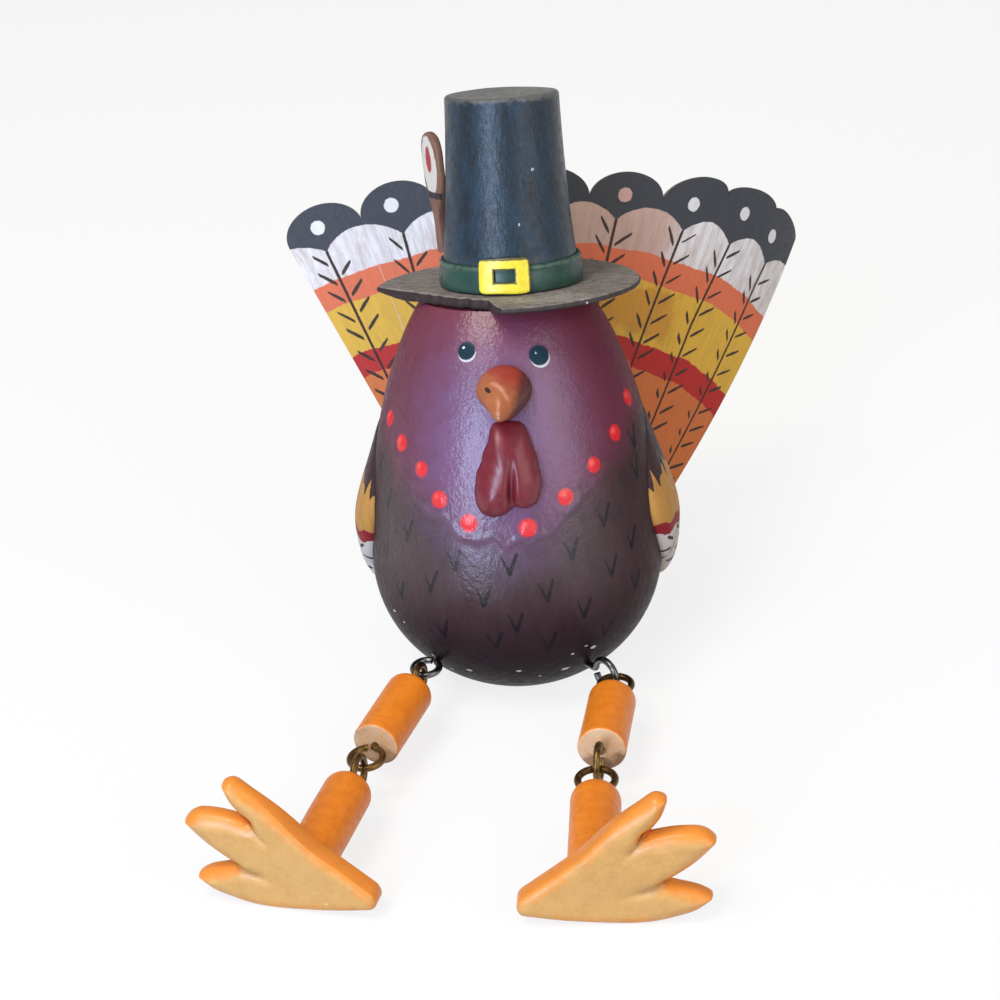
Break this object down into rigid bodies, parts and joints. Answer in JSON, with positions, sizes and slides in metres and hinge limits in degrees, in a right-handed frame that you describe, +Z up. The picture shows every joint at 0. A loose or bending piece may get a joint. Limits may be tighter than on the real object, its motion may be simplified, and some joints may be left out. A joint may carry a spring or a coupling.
{
  "type": "thanksgiving turkey figure",
  "caption": "Seated wooden turkey figure with an egg-shaped body, a tall buckled hat, a scalloped painted tail fan and dangling dowel legs on linked screw eyes.",
  "frame": {"origin": "on the flat seat under the body, straight below the bottom of the body's own axis", "axes": "+Z up from the table, -Y the way the turkey faces, +X to the right of someone facing it"},
  "size_m": [0.1555, 0.2365, 0.1598],
  "materials": {
    "body": "painted mauve-brown, semi-gloss",
    "beak": "painted, satin",
    "wattle": "painted, gloss",
    "wing": "painted, satin",
    "hat": "painted blue-black, satin, worn",
    "brim": "painted, worn",
    "band": "painted, satin",
    "buckle": "painted, satin",
    "feather": "painted, satin",
    "bare_wood": "bare",
    "fan": "hand-painted, satin",
    "leg": "painted, satin",
    "foot": "painted, satin",
    "steel": "bright",
    "bronze": "aged"
  },
  "bodies": {
    "torso": {"body_egg": "body", "beak": "beak", "wattle": "wattle", "left_wing": "wing", "right_wing": "wing", "hat_brim": "brim", "hat_crown": "hat", "hat_band": "band", "hat_buckle": "buckle", "hat_feather": "feather", "hat_pin": "bare_wood", "tail_fan": "fan", "fan_screw_upper": "steel", "fan_screw_lower": "steel", "left_hip_eye": "steel", "right_hip_eye": "steel"},
    "left_leg": {"left_thigh_upper_eye": "bronze", "left_thigh": "leg", "left_thigh_lower_eye": "bronze"},
    "left_foot": {"left_ankle_eye": "bronze", "left_ankle": "leg", "left_foot": "foot"},
    "right_leg": {"right_thigh_upper_eye": "bronze", "right_thigh": "leg", "right_thigh_lower_eye": "bronze"},
    "right_foot": {"right_ankle_eye": "bronze", "right_ankle": "leg", "right_foot": "foot"}
  },
  "joints": [
    {"name": "left_hip", "type": "hinge", "parent": "torso", "child": "left_leg", "pos_m": [-0.02516, -0.02846, 0.01373], "axis": [0.9588, -0.284, 0], "range_deg": [-45, 85]},
    {"name": "left_ankle", "type": "hinge", "parent": "left_leg", "child": "left_foot", "pos_m": [-0.03655, -0.06826, 0.011], "axis": [0.9806, -0.1961, 0.006], "range_deg": [-90, 90]},
    {"name": "right_hip", "type": "hinge", "parent": "torso", "child": "right_leg", "pos_m": [0.02778, -0.02638, 0.01089], "axis": [0.9962, -0.0872, 0], "range_deg": [-45, 78]},
    {"name": "right_ankle", "type": "hinge", "parent": "right_leg", "child": "right_foot", "pos_m": [0.02374, -0.07001, 0.011], "axis": [0.9998, 0.0174, 0], "range_deg": [-90, 90]}
  ]
}
